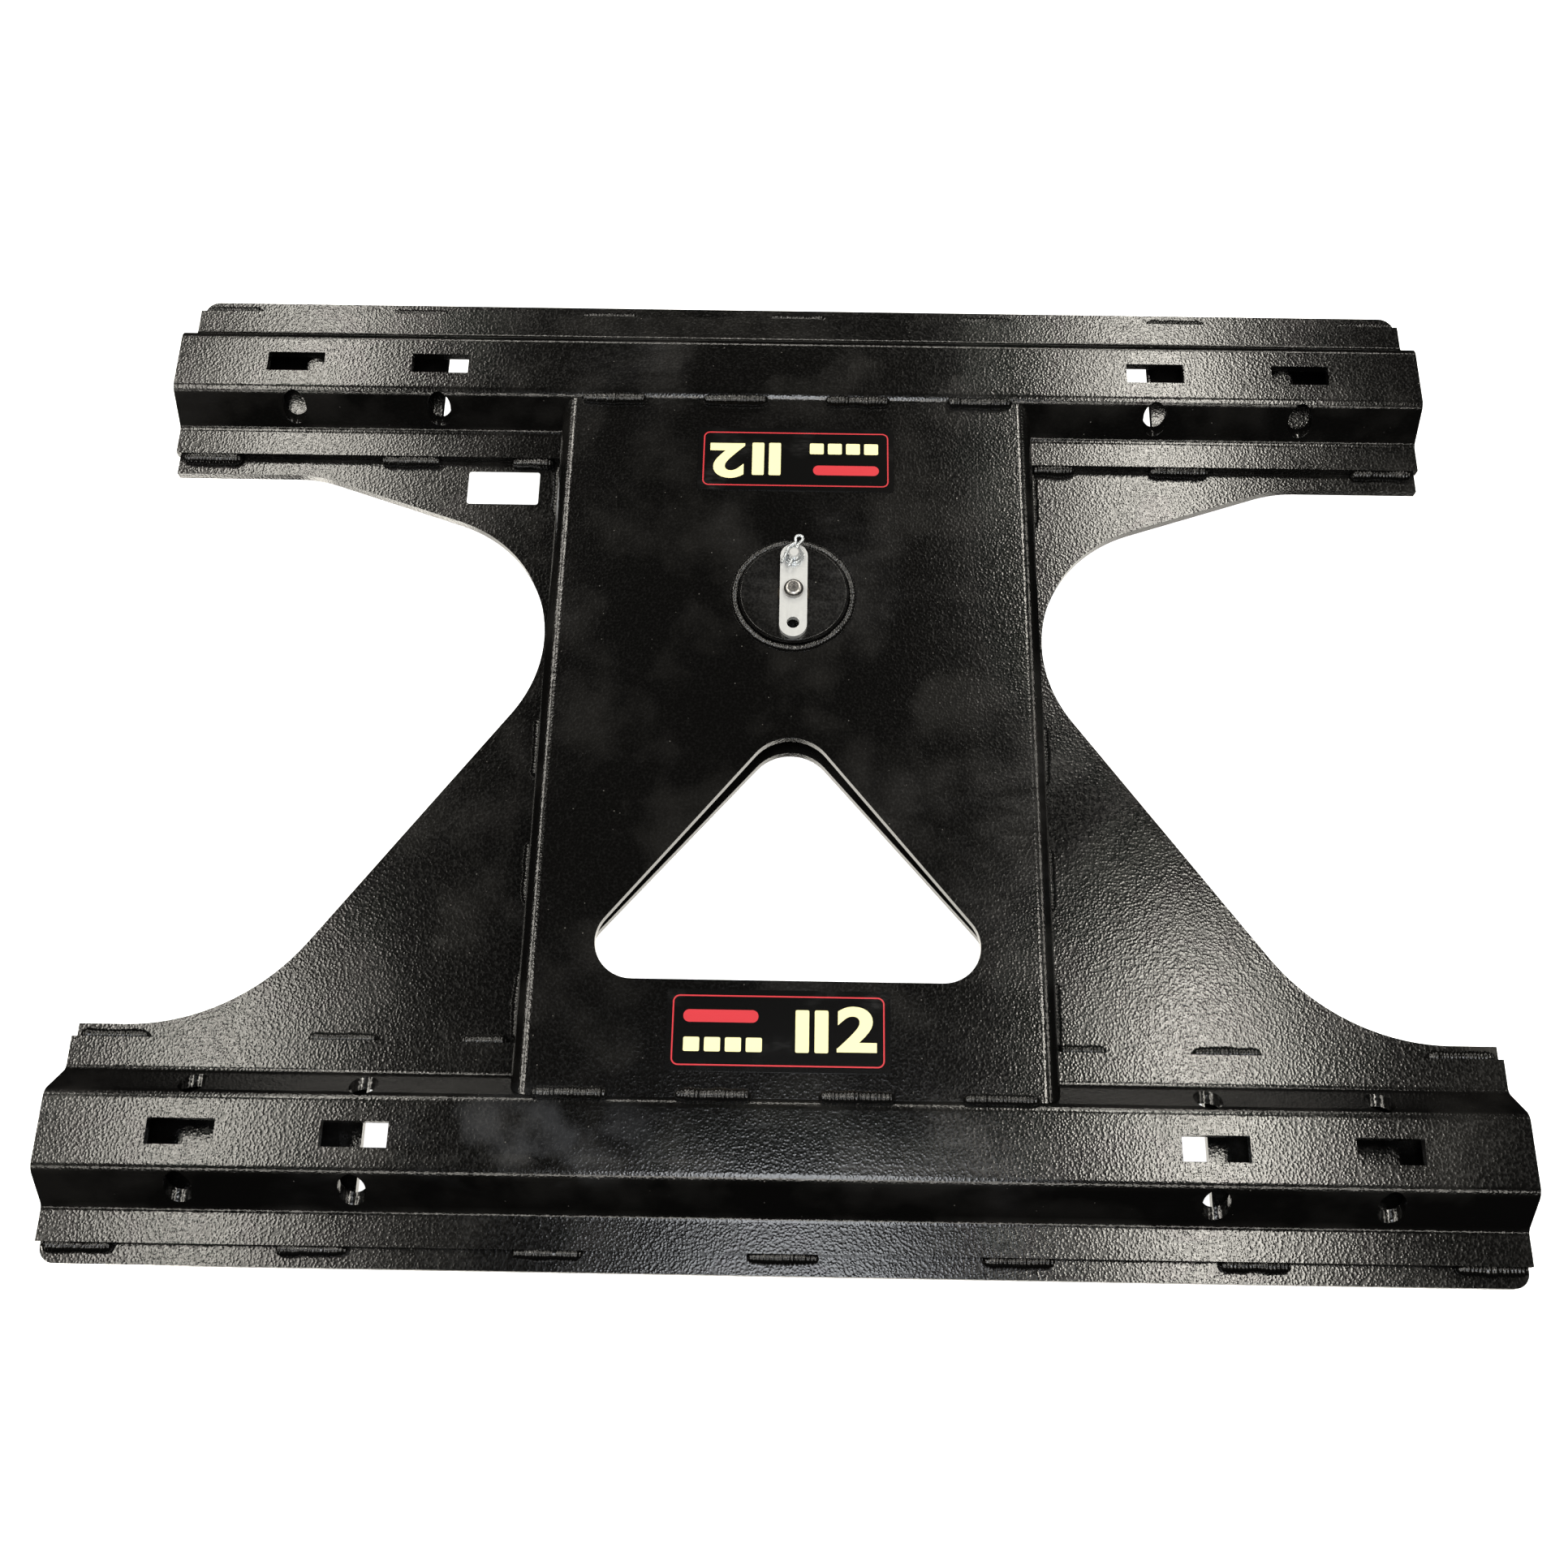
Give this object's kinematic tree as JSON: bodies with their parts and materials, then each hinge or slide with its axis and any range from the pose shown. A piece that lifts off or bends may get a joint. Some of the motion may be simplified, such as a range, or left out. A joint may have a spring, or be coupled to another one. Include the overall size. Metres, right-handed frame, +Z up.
{
  "type": "fifth wheel rail base",
  "caption": "Flat base plate carrying slotted fifth-wheel rails, a folded centre cover and a centre locking post turned by a short arm.",
  "frame": {"origin": "middle of the base plate's underside, on the face that lies on the truck bed", "axes": "+X along the rails, +Y toward the rail beside the post, +Z up out of the truck bed"},
  "size_m": [0.91, 0.7136, 0.1276],
  "materials": {
    "black_coat": "coarse black powder coat, semi-gloss",
    "weld_coat": "glossy black coat over a weld bead",
    "zinc": "bright zinc plate",
    "dark_steel": "dark alloy steel",
    "ground_steel": "ground steel, oiled",
    "bronze": "sintered bronze",
    "black_decal": "black vinyl with a thin red border",
    "white_label": "white paper label under film"
  },
  "bodies": {
    "root": {"base_plate": "black_coat", "front_rail": "black_coat", "rear_rail": "black_coat", "center_cover": "black_coat", "center_post": "black_coat", "post_weld": "weld_coat", "upper_bush": "bronze", "lower_bush": "bronze", "thrust_washer": "bronze", "post_cover": "ground_steel", "cover_ring": "dark_steel", "front_decal": "black_decal", "rear_decal": "black_decal", "side_label": "white_label"},
    "lock_arm": {"lock_arm": "zinc", "arm_screw": "dark_steel", "arm_stud": "zinc", "stud_washer": "zinc", "lock_shaft": "ground_steel", "lock_cam": "ground_steel", "cam_screw": "dark_steel"},
    "retaining_clip": {"retaining_clip": "zinc"},
    "plunger_left": {"plunger_left": "ground_steel", "follower_left": "ground_steel"},
    "plunger_right": {"plunger_right": "ground_steel", "follower_right": "ground_steel"}
  },
  "joints": [
    {"name": "lock_arm_turn", "type": "hinge", "parent": "root", "child": "lock_arm", "pos_m": [0, 0.0946, 0.0423], "axis": [0, 0, 1], "range_deg": [0, 90]},
    {"name": "clip_pull", "type": "slide", "parent": "lock_arm", "child": "retaining_clip", "axis": [0.342, 0.9397, 0], "range_m": [0, 0.03]},
    {"name": "plunger_left_slide", "type": "slide", "parent": "root", "child": "plunger_left", "axis": [-1, 0, 0], "range_m": [-0.007, 0]},
    {"name": "plunger_right_slide", "type": "slide", "parent": "root", "child": "plunger_right", "axis": [1, 0, 0], "range_m": [-0.007, 0]}
  ],
  "couplings": [
    {"joint": "plunger_left_slide", "follows": "lock_arm_turn", "m_per_rad": -0.004456},
    {"joint": "plunger_right_slide", "follows": "lock_arm_turn", "m_per_rad": -0.004456}
  ]
}
